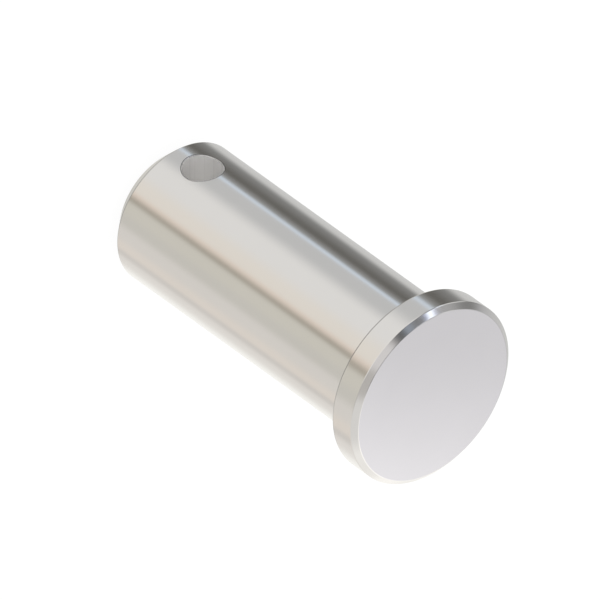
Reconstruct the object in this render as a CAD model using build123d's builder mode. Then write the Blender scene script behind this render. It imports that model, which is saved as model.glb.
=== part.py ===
from build123d import *
import os

# Headed clevis pin with a cross hole for a split pin.
#
# One piece, turned from round stainless bar and cross drilled. All sizes are
# in millimetres. The pin stands on its plain end: the origin is the centre of
# the end face, +Z runs up the shank to the head, and the cross hole lies
# along X.

# shank
pin_diameter = 14.0            # bearing diameter
length_under_head = 33.75      # end face to the underside of the head
end_chamfer = 1.55             # 45 degree lead-in on the plain end

# head
head_diameter = 18.25
head_thickness = 3.0
head_chamfer_radial = 0.55     # bevel round the outer face of the head
head_chamfer_axial = 0.45

# split pin hole
hole_diameter = 3.8
hole_to_end = 5.0              # hole axis above the end face

# edge breaks left by the lathe tool and the deburring
head_rear_edge_radius = 0.18   # rim to underside of the head
bevel_rim_radius = 0.12        # bevel to the rim
bevel_face_radius = 0.16       # bevel to the face
end_edge_radius = 0.15         # end chamfer to the shank and to the end face
hole_edge_radius = 0.08        # both mouths of the cross hole

# the lathe tool's nose leaves an internal radius under the head
under_head_radius = 0.2

pin_radius = pin_diameter / 2
head_radius = head_diameter / 2
total_length = length_under_head + head_thickness

with BuildPart() as clevis_pin:
    # half section on the XZ plane: x is the radius, z the height
    with BuildSketch(Plane.XZ) as half_section:
        with BuildLine():
            Polyline(
                (0, 0),
                (pin_radius - end_chamfer, 0),
                (pin_radius, end_chamfer),
                (pin_radius, length_under_head),
                (head_radius, length_under_head),
                (head_radius, total_length - head_chamfer_axial),
                (head_radius - head_chamfer_radial, total_length),
                (0, total_length),
                close=True,
            )
        make_face()
        # each corner of the section, by the height and the side it is on
        fillet(
            half_section.vertices().filter_by(
                lambda v: v.X > pin_radius + 0.1 and abs(v.Z - length_under_head) < 0.01),
            radius=head_rear_edge_radius,
        )
        fillet(
            half_section.vertices().filter_by(
                lambda v: abs(v.X - pin_radius) < 0.01 and abs(v.Z - length_under_head) < 0.01),
            radius=under_head_radius,
        )
        fillet(
            half_section.vertices().filter_by(
                lambda v: abs(v.Z - (total_length - head_chamfer_axial)) < 0.01),
            radius=bevel_rim_radius,
        )
        fillet(
            half_section.vertices().filter_by(
                lambda v: v.X > 0.1 and abs(v.Z - total_length) < 0.01),
            radius=bevel_face_radius,
        )
        fillet(
            half_section.vertices().filter_by(
                lambda v: v.X > 0.1 and v.Z < end_chamfer + 0.01),
            radius=end_edge_radius,
        )
    # the turned blank
    revolve(axis=Axis.Z)

    # the cross hole goes right through the shank near its plain end
    with BuildSketch(Plane.YZ):
        with Locations((0, hole_to_end)):
            Circle(hole_diameter / 2)
    extrude(amount=pin_diameter, both=True, mode=Mode.SUBTRACT)

    # both mouths are deburred
    hole_mouths = clevis_pin.edges(Select.LAST).filter_by(
        lambda e: abs(e.center().X) > pin_radius * 0.8
    )
    fillet(hole_mouths, radius=hole_edge_radius)

clevis_pin.part.label = "clevis_pin"

os.makedirs("parts", exist_ok=True)
export_step(clevis_pin.part, "parts/clevis_pin.step")

box = clevis_pin.part.bounding_box()
print("solids", len(clevis_pin.part.solids()),
      "volume mm3", round(clevis_pin.part.volume, 1),
      "box", [round(v, 3) for v in (*box.min, *box.max)])
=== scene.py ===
import math

import bpy
import numpy as np
from mathutils import Matrix, Vector


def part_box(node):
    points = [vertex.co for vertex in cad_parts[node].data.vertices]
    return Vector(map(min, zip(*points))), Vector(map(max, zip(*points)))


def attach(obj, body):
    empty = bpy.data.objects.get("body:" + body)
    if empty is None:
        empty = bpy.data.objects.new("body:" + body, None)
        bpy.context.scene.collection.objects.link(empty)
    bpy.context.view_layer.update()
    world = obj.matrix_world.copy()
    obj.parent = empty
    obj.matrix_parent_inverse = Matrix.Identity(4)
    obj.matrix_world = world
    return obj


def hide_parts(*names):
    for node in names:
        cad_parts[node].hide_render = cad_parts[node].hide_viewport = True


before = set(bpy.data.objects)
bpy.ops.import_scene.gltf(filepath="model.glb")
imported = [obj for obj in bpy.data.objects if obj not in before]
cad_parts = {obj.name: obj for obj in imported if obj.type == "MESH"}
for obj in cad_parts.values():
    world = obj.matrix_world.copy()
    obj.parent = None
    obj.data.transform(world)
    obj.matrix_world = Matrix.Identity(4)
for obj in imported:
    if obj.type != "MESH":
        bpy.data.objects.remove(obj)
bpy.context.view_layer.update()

scene = bpy.context.scene
MM = 0.001


# ---------------------------------------------------------------- camera
# Straight-on studio view from the head end, 38 degrees above the head's face,
# rolled so that the head comes to the lower right of the picture.
VIEW_AZ = math.radians(40.535)      # of the camera, from +X towards +Y
VIEW_EL = math.radians(37.865)
VIEW_ROLL = math.radians(125.697)
AIM = Vector((6.743, 5.781, 25.327)) * MM

back = Vector((math.cos(VIEW_AZ) * math.cos(VIEW_EL),
               math.sin(VIEW_AZ) * math.cos(VIEW_EL),
               math.sin(VIEW_EL)))
side = Vector((0, 0, 1)).cross(back).normalized()
top = back.cross(side)
cam_x = side * math.cos(VIEW_ROLL) + top * math.sin(VIEW_ROLL)
cam_y = back.cross(cam_x)

cam_data = bpy.data.cameras.new("camera")
cam_data.type = "ORTHO"
cam_data.ortho_scale = 53.141 * MM
cam_data.clip_start = 0.001
cam_data.clip_end = 20.0
camera = bpy.data.objects.new("camera", cam_data)
scene.collection.objects.link(camera)
camera.matrix_world = Matrix((
    (cam_x.x, cam_y.x, back.x, AIM.x + back.x * 0.4),
    (cam_x.y, cam_y.y, back.y, AIM.y + back.y * 0.4),
    (cam_x.z, cam_y.z, back.z, AIM.z + back.z * 0.4),
    (0, 0, 0, 1),
))
scene.camera = camera


# ---------------------------------------------------------------- the pin
# The CAD solid's own sizes, in millimetres, meshed finely enough that a
# polished surface shows no facets. Every edge has its small radius, and every
# vertex carries the true surface normal.
pin_lo, pin_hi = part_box("clevis_pin")
TOTAL = pin_hi.z / MM
SHANK_R = 7.0
HEAD_R = 9.125
HEAD_T = 3.0
UNDER = TOTAL - HEAD_T
END_CHAMFER = 1.55
HEAD_CH_R, HEAD_CH_Z = 0.55, 0.45
HOLE_R = 1.9
HOLE_Z = 5.0
HOLE_EDGE = 0.08
NS = 384                            # steps round the axis
WIN = 24                            # half width of the hole's window, in steps
WIN_H = 2.75                        # half height of the window
FACE_CROWN = math.radians(3.5)      # shading only: how far the flat face's normals lean out at its rim


def rounded(corners, arc_steps=6):
    """Profile points and normals, as (r, z, nr, nz), of a polyline whose corners are rounded."""
    pts = np.array([c[:2] for c in corners], float)
    rad = [c[2] for c in corners]
    out = []
    for i in range(len(pts)):
        if i == 0 or i == len(pts) - 1:
            d = (pts[1] - pts[0]) if i == 0 else (pts[-1] - pts[-2])
            d = d / np.linalg.norm(d)
            out.append((*pts[i], d[1], -d[0]))
            continue
        d0 = pts[i] - pts[i - 1]
        d1 = pts[i + 1] - pts[i]
        d0 = d0 / np.linalg.norm(d0)
        d1 = d1 / np.linalg.norm(d1)
        turn = math.atan2(d0[0] * d1[1] - d0[1] * d1[0], float(d0 @ d1))
        n0 = np.array([d0[1], -d0[0]])
        if abs(turn) < 1e-6:
            out.append((*pts[i], *n0))
            continue
        sgn = 1.0 if turn > 0 else -1.0
        start = pts[i] - d0 * rad[i] * math.tan(abs(turn) / 2)
        centre = start - n0 * rad[i] * sgn
        a0 = math.atan2(n0[1], n0[0])
        for k in range(arc_steps + 1):
            a = a0 + turn * k / arc_steps
            n = np.array([math.cos(a), math.sin(a)])
            p = centre + n * rad[i] * sgn
            out.append((*p, *n))
    return out


WIN_ROWS = np.linspace(HOLE_Z - WIN_H, HOLE_Z + WIN_H, 2 * WIN + 1)
profile = rounded([
    (0.6, 0, 0), (2.2, 0, 0), (4.0, 0, 0),
    (SHANK_R - END_CHAMFER, 0, 0.15),
    (SHANK_R, END_CHAMFER, 0.15),
    *[(SHANK_R, float(z), 0) for z in WIN_ROWS],
    *[(SHANK_R, z, 0) for z in (10.0, 14.0, 18.0, 22.0, 26.0, 30.0, 32.5)],
    (SHANK_R, UNDER, 0.2),
    (8.0, UNDER, 0),
    (HEAD_R, UNDER, 0.18),
    (HEAD_R, UNDER + HEAD_T / 2, 0),
    (HEAD_R, TOTAL - HEAD_CH_Z, 0.12),
    (HEAD_R - HEAD_CH_R, TOTAL, 0.16),
    (7.6, TOTAL, 0), (6.4, TOTAL, 0), (5.0, TOTAL, 0),
    (3.6, TOTAL, 0), (2.2, TOTAL, 0), (1.0, TOTAL, 0), (0.3, TOTAL, 0),
])
rows = len(profile)
win_row0 = next(i for i, p in enumerate(profile)
                if abs(p[0] - SHANK_R) < 1e-9 and abs(p[1] - WIN_ROWS[0]) < 1e-9)

verts, norms, faces, face_mat = [], [], [], []
theta = np.arange(NS) * 2 * math.pi / NS
for r, z, nr, nz in profile:
    for t in theta:
        verts.append((r * math.cos(t), r * math.sin(t), z))
        norms.append((nr * math.cos(t), nr * math.sin(t), nz))


def gv(i, j):
    return i * NS + j % NS


def in_window(i, j):
    if not win_row0 <= i < win_row0 + 2 * WIN:
        return False
    return any((j - c + WIN) % NS < 2 * WIN for c in (0, NS // 2))


for i in range(rows - 1):
    for j in range(NS):
        if not in_window(i, j):
            faces.append((gv(i, j), gv(i, j + 1), gv(i + 1, j + 1), gv(i + 1, j)))
            face_mat.append(0)

for i, z, nz in ((0, 0.0, -1.0), (rows - 1, TOTAL, 1.0)):
    c = len(verts)
    verts.append((0.0, 0.0, z))
    norms.append((0.0, 0.0, nz))
    for j in range(NS):
        faces.append((c, gv(i, j + 1), gv(i, j)) if nz < 0 else (gv(i, j), gv(i, j + 1), c))
        face_mat.append(0)

# the cross hole: rings run from the +X window's border over the rounded mouth,
# through the shank and out to the -X window's border
loop = ([(WIN, k) for k in range(0, WIN)]
        + [(t, WIN) for t in range(WIN, -WIN, -1)]
        + [(-WIN, k) for k in range(WIN, -WIN, -1)]
        + [(t, -WIN) for t in range(-WIN, WIN)]
        + [(WIN, k) for k in range(-WIN, 0)])
mid = win_row0 + WIN
step = 2 * math.pi / NS
border = np.array([(SHANK_R * t * step, WIN_H * k / WIN) for t, k in loop])
phi = np.arctan2(border[:, 1], border[:, 0])
ball = HOLE_R + HOLE_EDGE
xc = np.sqrt((SHANK_R - HOLE_EDGE) ** 2 - (ball * np.cos(phi)) ** 2)
n_wall = np.stack([np.zeros_like(phi), -np.cos(phi), -np.sin(phi)], 1)
n_skin = np.stack([xc, ball * np.cos(phi), np.zeros_like(phi)], 1) / (SHANK_R - HOLE_EDGE)
centre = np.stack([xc, ball * np.cos(phi), ball * np.sin(phi)], 1)
rim = np.stack([SHANK_R * np.arctan2(n_skin[:, 1], n_skin[:, 0]), ball * np.sin(phi)], 1)


def add_ring(points, normals):
    first = len(verts)
    for p, n in zip(points, normals):
        n = np.asarray(n, float)
        n = n / np.linalg.norm(n)
        verts.append(tuple(map(float, p)))
        norms.append(tuple(map(float, n)))
    return list(range(first, first + len(points)))


PATCH, ARC, WALL = 9, 8, 40
rings, ring_mat = [[gv(mid + k, t) for t, k in loop]], []
half = []
for s in range(1, PATCH):
    f = (s / PATCH) ** 0.8
    d = border * (1 - f) + rim * f
    a = d[:, 0] / SHANK_R
    n = np.stack([np.cos(a), np.sin(a), np.zeros_like(a)], 1)
    p = np.stack([SHANK_R * np.cos(a), SHANK_R * np.sin(a), HOLE_Z + d[:, 1]], 1)
    half.append((p, n, 0))
for s in range(ARC + 1):
    f = s / ARC
    ang = np.arccos(np.clip((n_skin * n_wall).sum(1), -1, 1))
    n = (np.sin((1 - f) * ang)[:, None] * n_skin + np.sin(f * ang)[:, None] * n_wall) / np.sin(ang)[:, None]
    p = centre + n * HOLE_EDGE + np.array([0, 0, HOLE_Z])
    half.append((p, n, 1 if s else 0))
for p, n, m in half:
    rings.append(add_ring(p, n))
    ring_mat.append(m)
for s in range(1, WALL):
    x = xc * (1 - 2 * s / WALL)
    p = np.stack([x, HOLE_R * np.cos(phi), HOLE_R * np.sin(phi) + HOLE_Z], 1)
    rings.append(add_ring(p, n_wall))
    ring_mat.append(1)
flip = np.array([-1.0, 1.0, 1.0])
for q, (p, n, m) in enumerate(reversed(half)):
    rings.append(add_ring(p * flip, n * flip))
    ring_mat.append(1 if q <= ARC else 0)
rings.append([gv(mid + k, NS // 2 - t) for t, k in loop])
ring_mat.append(0)
for q in range(len(rings) - 1):
    a, b = rings[q], rings[q + 1]
    for k in range(len(loop)):
        k1 = (k + 1) % len(loop)
        faces.append((a[k], a[k1], b[k1], b[k]))
        face_mat.append(ring_mat[q])

# grid vertices inside the windows belong to no face and are dropped
used = np.zeros(len(verts), bool)
for f in faces:
    used[list(f)] = True
index = np.cumsum(used) - 1
verts = np.array(verts)[used] * MM
norms = np.array(norms)[used]
faces = [tuple(int(index[v]) for v in f) for f in faces]

# the faced end is flat, but its shading normals lean outwards towards the rim,
# so it mirrors its panel as a very slightly crowned face would
flat = np.abs(verts[:, 2] / MM - TOTAL) < 1e-6
lean = np.zeros(len(verts))
rho = np.hypot(verts[:, 0], verts[:, 1]) / MM
lean[flat] = np.sin(FACE_CROWN) * rho[flat] / (HEAD_R - HEAD_CH_R)
norms[flat, 0] = lean[flat] * verts[flat, 0] / MM / np.maximum(rho[flat], 1e-6)
norms[flat, 1] = lean[flat] * verts[flat, 1] / MM / np.maximum(rho[flat], 1e-6)
norms[flat, 2] = np.sqrt(1 - lean[flat] ** 2)

mesh = bpy.data.meshes.new("clevis_pin_finished")
mesh.from_pydata([tuple(v) for v in verts], [], faces)
mesh.polygons.foreach_set("use_smooth", [True] * len(mesh.polygons))
mesh.polygons.foreach_set("material_index", face_mat)
mesh.update()
mesh.normals_split_custom_set_from_vertices([tuple(n) for n in norms])
pin = bpy.data.objects.new("clevis_pin_finished", mesh)
scene.collection.objects.link(pin)


# ---------------------------------------------------------------- materials
class Nodes:
    """Short calls for building a node tree."""

    def __init__(self, tree):
        self.tree = tree
        tree.nodes.clear()

    def new(self, kind, **props):
        n = self.tree.nodes.new(kind)
        for k, v in props.items():
            setattr(n, k, v)
        return n

    def link(self, a, b):
        self.tree.links.new(a, b)

    def put(self, socket, value):
        if isinstance(value, bpy.types.NodeSocket):
            self.link(value, socket)
        else:
            socket.default_value = value

    def math(self, op, a, b=None, c=None, clamp=False):
        n = self.new("ShaderNodeMath", operation=op, use_clamp=clamp)
        for s, v in zip(n.inputs, (a, b, c)):
            if v is not None:
                self.put(s, v)
        return n.outputs[0]

    def smooth(self, value, lo, hi, a=0.0, b=1.0):
        n = self.new("ShaderNodeMapRange", interpolation_type="SMOOTHSTEP")
        for s, v in zip(n.inputs, (value, lo, hi, a, b)):
            self.put(s, v)
        return n.outputs[0]

    def mix(self, f, a, b):
        n = self.new("ShaderNodeMix", data_type="RGBA")
        self.put(n.inputs[0], f)
        self.put(n.inputs[6], (*a, 1) if isinstance(a, tuple) and len(a) == 3 else a)
        self.put(n.inputs[7], (*b, 1) if isinstance(b, tuple) and len(b) == 3 else b)
        return n.outputs[2]

    def noise(self, vector, scale=1.0, detail=2.0, rough=0.5):
        n = self.new("ShaderNodeTexNoise")
        self.put(n.inputs["Vector"], vector)
        n.inputs["Scale"].default_value = scale
        n.inputs["Detail"].default_value = detail
        n.inputs["Roughness"].default_value = rough
        return n.outputs["Fac"]

    def xyz(self, x, y, z):
        n = self.new("ShaderNodeCombineXYZ")
        for s, v in zip(n.inputs, (x, y, z)):
            self.put(s, v)
        return n.outputs[0]


MOUTH_SHADE_PAINT = (0.12, 0.118, 0.115)    # painted shade: the thin dark line round each mouth of the hole


def hole_distance(g, y, z):
    dz = g.math("SUBTRACT", z, HOLE_Z * MM)
    return g.math("SQRT", g.math("ADD", g.math("POWER", y, 2.0), g.math("POWER", dz, 2.0)))


def turned_steel():
    mat = bpy.data.materials.new("turned_stainless")
    mat.use_nodes = True
    g = Nodes(mat.node_tree)
    out = g.new("ShaderNodeOutputMaterial")
    bsdf = g.new("ShaderNodeBsdfPrincipled")
    g.link(bsdf.outputs[0], out.inputs[0])
    bsdf.inputs["Metallic"].default_value = 1.0
    coord = g.new("ShaderNodeTexCoord")
    sep = g.new("ShaderNodeSeparateXYZ")
    g.link(coord.outputs["Object"], sep.inputs[0])
    x, y, z = sep.outputs
    # tool marks run round the pin's axis: they change with radius and height
    r = g.math("SQRT", g.math("ADD", g.math("POWER", x, 2.0), g.math("POWER", y, 2.0)))
    drift = g.math("MULTIPLY", g.math("ADD", x, g.math("MULTIPLY", y, 0.6)), 45.0)

    def marks(pitch_mm):
        k = 1000.0 / pitch_mm
        return g.xyz(g.math("MULTIPLY", r, k), g.math("MULTIPLY", z, k), drift)

    fine = g.noise(marks(0.16), detail=3.0, rough=0.6)
    broad = g.noise(marks(1.1), detail=2.0, rough=0.5)
    cloud = g.noise(coord.outputs["Object"], scale=220.0, detail=3.0)

    tone = g.math("ADD", g.math("MULTIPLY", fine, 0.35), g.math("MULTIPLY", cloud, 0.65))
    colour = g.mix(tone, (0.795, 0.785, 0.772), (0.835, 0.825, 0.815))
    # painted shade: a thin dark ring on the skin just outside each mouth of the cross hole
    line = g.smooth(hole_distance(g, y, z), (HOLE_R + HOLE_EDGE + 0.035) * MM, (HOLE_R + HOLE_EDGE + 0.01) * MM)
    g.put(bsdf.inputs["Base Color"], g.mix(line, colour, MOUTH_SHADE_PAINT))
    g.put(bsdf.inputs["Roughness"],
          g.math("MULTIPLY_ADD", g.math("ADD", g.math("MULTIPLY", fine, 0.6), g.math("MULTIPLY", cloud, 0.4)),
                 0.05, 0.125))
    bump = g.new("ShaderNodeBump")
    bump.inputs["Strength"].default_value = 1.0
    bump.inputs["Distance"].default_value = MM
    g.put(bump.inputs["Height"], g.math("ADD", g.math("MULTIPLY", fine, 0.00030), g.math("MULTIPLY", broad, 0.0008)))
    g.link(bump.outputs[0], bsdf.inputs["Normal"])
    return mat


def reamed_steel():
    """The cross hole: a bright satin wall with faint lines along its own axis, X, and painted shade round each mouth:
    an even, thin dark line on the rounded edge and a faint darkening of the wall next to it.
    """
    mat = bpy.data.materials.new("reamed_stainless")
    mat.use_nodes = True
    g = Nodes(mat.node_tree)
    out = g.new("ShaderNodeOutputMaterial")
    bsdf = g.new("ShaderNodeBsdfPrincipled")
    g.link(bsdf.outputs[0], out.inputs[0])
    bsdf.inputs["Metallic"].default_value = 0.76
    coord = g.new("ShaderNodeTexCoord")
    sep = g.new("ShaderNodeSeparateXYZ")
    g.link(coord.outputs["Object"], sep.inputs[0])
    x, y, z = sep.outputs
    k = 1000.0 / 0.45
    lines = g.noise(g.xyz(g.math("MULTIPLY", x, 18.0), g.math("MULTIPLY", y, k), g.math("MULTIPLY", z, k)),
                    detail=2.0, rough=0.55)
    wall = g.mix(g.smooth(lines, 0.36, 0.50), (0.90, 0.894, 0.888), (0.998, 0.994, 0.989))
    depth = g.math("SUBTRACT", SHANK_R * MM,
                   g.math("SQRT", g.math("ADD", g.math("POWER", x, 2.0), g.math("POWER", y, 2.0))))
    from_axis = hole_distance(g, y, z)
    # painted shade: the outer part of each mouth's rounded edge is painted dark, and the wall just inside the mouth a
    # little darker
    lip = g.smooth(from_axis, (HOLE_R + 0.028) * MM, (HOLE_R + 0.045) * MM)
    line = g.math("MULTIPLY", g.math("SUBTRACT", 1.0, lip), g.smooth(depth, 0.14 * MM, 0.07 * MM, 0.0, 0.26))
    colour = g.mix(lip, wall, (0.12, 0.118, 0.116))
    g.put(bsdf.inputs["Base Color"], g.mix(line, colour, MOUTH_SHADE_PAINT))
    g.put(bsdf.inputs["Roughness"], g.smooth(depth, 0.12 * MM, 0.08 * MM, 0.276, 0.16))
    return mat


mesh.materials.append(turned_steel())
mesh.materials.append(reamed_steel())
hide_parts("clevis_pin")
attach(pin, "root")


# ---------------------------------------------------------------- floor
floor_mesh = bpy.data.meshes.new("studio_floor")
F = 1.5
floor_mesh.from_pydata([(-F, -F, 0), (F, -F, 0), (F, F, 0), (-F, F, 0)], [], [(0, 1, 2, 3)])
floor = bpy.data.objects.new("studio_floor", floor_mesh)
scene.collection.objects.link(floor)
floor.location.z = -0.00002
floor_mat = bpy.data.materials.new("pale_floor")
floor_mat.use_nodes = True
p = floor_mat.node_tree.nodes["Principled BSDF"]
p.inputs["Base Color"].default_value = (0.10, 0.10, 0.10, 1)
p.inputs["Roughness"].default_value = 0.9
p.inputs["Specular IOR Level"].default_value = 0.0
p.inputs["Emission Color"].default_value = (1, 1, 1, 1)       # lit from below
p.inputs["Emission Strength"].default_value = 0.93
floor_mesh.materials.append(floor_mat)
floor.visible_glossy = False        # the light tent goes on under the pin


# ---------------------------------------------------------------- studio light
# A light tent of upright panels and flags round the pin, which only mirrored
# rays see; all other light is even and white. The seams and tones were tuned
# until the streaks on the metal fell right. Azimuth 0 is the camera's side,
# and it grows anticlockwise seen from above. Each entry is the azimuth of a
# seam, its softness and the panel that follows it.
world = bpy.data.worlds.new("studio")
scene.world = world
world.use_nodes = True
w = Nodes(world.node_tree)
coord = w.new("ShaderNodeTexCoord")
turn = w.new("ShaderNodeVectorRotate", rotation_type="Z_AXIS")
w.link(coord.outputs["Generated"], turn.inputs["Vector"])
turn.inputs["Angle"].default_value = -VIEW_AZ
sep = w.new("ShaderNodeSeparateXYZ")
w.link(turn.outputs[0], sep.inputs[0])
az = w.math("MULTIPLY", w.math("ARCTAN2", sep.outputs[1], sep.outputs[0]), 180 / math.pi)
el = w.math("MULTIPLY", w.math("ARCSINE", sep.outputs[2]), 180 / math.pi)


def tent(start, seams):
    colour = (*start, 1.0)
    for at, soft, panel in seams:
        colour = w.mix(w.smooth(az, at - soft, at + soft), colour, panel)
    return colour


lower = tent((0.80, 0.80, 0.79), [
    (-175, 5, (0.65, 0.65, 0.64)),      # grey return panel
    (-134, 10, (0.24, 0.24, 0.235)),    # dark flag, darkest in its middle
    (-112, 16, (0.104, 0.098, 0.088)),
    (-96, 8, (0.30, 0.30, 0.29)),
    (-87.6, 2.6, (0.75, 0.845, 0.96)),  # narrow cool strip
    (-81.8, 2.2, (0.60, 0.603, 0.605)), # mid grey panel
    (-51, 12, (0.87, 0.86, 0.845)),     # light panel
    (-10, 12, (0.885, 0.835, 0.765)),   # warm panel
    (13, 4, (0.86, 0.74, 0.64)),
    (19.5, 5, (0.41, 0.375, 0.315)),    # narrow gap
    (28, 4, (0.695, 0.67, 0.60)),       # olive grey panel
    (48, 6, (0.66, 0.64, 0.59)),
    (66, 7, (0.78, 0.75, 0.71)),        # peach panel
    (90, 8, (0.84, 0.78, 0.715)),
    (107, 4, (0.71, 0.68, 0.645)),      # its edge
    (118, 6, (0.86, 0.83, 0.79)),       # white back panel
    (142, 14, (1.02, 1.01, 0.97)),
    (177.5, 2.5, (0.80, 0.80, 0.79)),
])
upper = tent((0.67, 0.665, 0.695), [
    (-163, 10, (0.51, 0.51, 0.52)),
    (-131.5, 7, (0.24, 0.24, 0.235)),   # dark flag
    (-113, 8, (0.42, 0.42, 0.42)),
    (-92, 1, (0.46, 0.47, 0.75)),     # the cool strip's bright head, with tinted borders
    (-90, 1, (1.65, 1.75, 1.85)),
    (-83.4, 1, (0.42, 0.48, 0.85)),
    (-81, 1.5, (0.21, 0.21, 0.21)),     # second dark flag, paler in its middle
    (-64, 4, (0.33, 0.37, 0.43)),
    (-52, 3.5, (0.105, 0.105, 0.105)),
    (-32, 12, (0.76, 0.74, 0.74)),      # overhead panel over the camera
    (22, 8, (0.53, 0.51, 0.49)),
    (64, 8, (0.77, 0.76, 0.74)),
    (112, 10, (0.98, 0.965, 0.93)),     # white back panel
    (142, 12, (1.12, 1.10, 1.07)),
    (172, 8, (0.67, 0.665, 0.695)),
])
studio = w.mix(w.smooth(el, -12, 22), lower, upper)


def within(value, a, b, soft):
    return w.math("MULTIPLY", w.smooth(value, a - soft, a + soft), w.smooth(value, b + soft, b - soft))


def hang(over, els, azs, panel, turned=az):
    """Hang a soft-edged panel in front of what is there: (low, high, softness) in elevation and azimuth."""
    return w.mix(w.math("MULTIPLY", within(el, *els), within(turned, *azs)), over, panel)


behind = w.math("WRAP", az, 360.0, 0.0)
# eye-level panels all round, which only the rounded edges mirror
studio = hang(studio, (-13, 36, 9), (-62, 30, 6), (0.90, 0.88, 0.85))
studio = hang(studio, (-22, 34, 5), (-80, -65, 3), (0.25, 0.25, 0.245))
studio = hang(studio, (-26, 20, 5), (-114, -86, 3), (0.82, 0.82, 0.80))
studio = hang(studio, (-22, 22, 6), (97, 118, 5), (0.87, 0.84, 0.80))
studio = hang(studio, (43, 55, 4), (-138, -106, 4), (1.1, 1.1, 1.1))
studio = hang(studio, (6, 34, 4), (-174, -156, 4), (0.50, 0.50, 0.50))
# low and high back panels
studio = hang(studio, (-11, 24, 6), (146, 180, 4), (1.15, 1.13, 1.09), behind)
studio = hang(studio, (27, 47, 5), (122, 160, 6), (1.24, 1.22, 1.18), behind)
studio = hang(studio, (12, 40, 5), (145, 160, 4), (1.28, 1.26, 1.22), behind)
# the big panel that the head's face mirrors: its edge slopes across the middle
slope = w.math("MULTIPLY_ADD", w.math("SUBTRACT", el, 38.0), 0.4, behind)
big_back = w.mix(w.smooth(slope, 165, 185), (1.17, 1.155, 1.20), (0.72, 0.712, 0.745))
studio = w.mix(w.math("MULTIPLY", w.smooth(el, 25, 30), within(behind, 164, 198, 5)), studio, big_back)
# a dark border round the light overhead panel, the table top below with a grey
# strip along one side, and under the table a dark near half and a light far half
studio = w.mix(w.smooth(el, 66, 72), studio, (0.12, 0.12, 0.12))
studio = w.mix(w.smooth(el, 76, 82), studio, (0.62, 0.615, 0.61))
studio = w.mix(w.smooth(el, -37.5, -49), studio, (0.69, 0.675, 0.63))
studio = w.mix(w.math("MULTIPLY", w.smooth(el, -41, -44), within(behind, 124, 168, 16)), studio, (0.30, 0.295, 0.285))
near = w.mix(w.smooth(el, -70, -79), (0.035, 0.035, 0.035), (0.18, 0.178, 0.175))
under = w.mix(within(behind, 130, 230, 15), near, (0.45, 0.445, 0.43))
studio = w.mix(w.smooth(el, -54, -64), studio, under)
rays = w.new("ShaderNodeLightPath")
tent_light = w.new("ShaderNodeBackground")
w.link(studio, tent_light.inputs[0])
tent_light.inputs[1].default_value = 1.0
plain_light = w.new("ShaderNodeBackground")
plain_light.inputs[0].default_value = (1.0, 1.0, 1.0, 1)
plain_light.inputs[1].default_value = 1.12
pick = w.new("ShaderNodeMixShader")
w.link(rays.outputs["Is Glossy Ray"], pick.inputs[0])
w.link(plain_light.outputs[0], pick.inputs[1])
w.link(tent_light.outputs[0], pick.inputs[2])
world_out = w.new("ShaderNodeOutputWorld")
w.link(pick.outputs[0], world_out.inputs[0])

scene.cycles.max_bounces = 48         # light crosses the hole many times
scene.cycles.glossy_bounces = 40
scene.cycles.diffuse_bounces = 32
scene.view_settings.view_transform = "Standard"
scene.view_settings.look = "None"
scene.view_settings.exposure = 0.0
scene.view_settings.gamma = 1.0
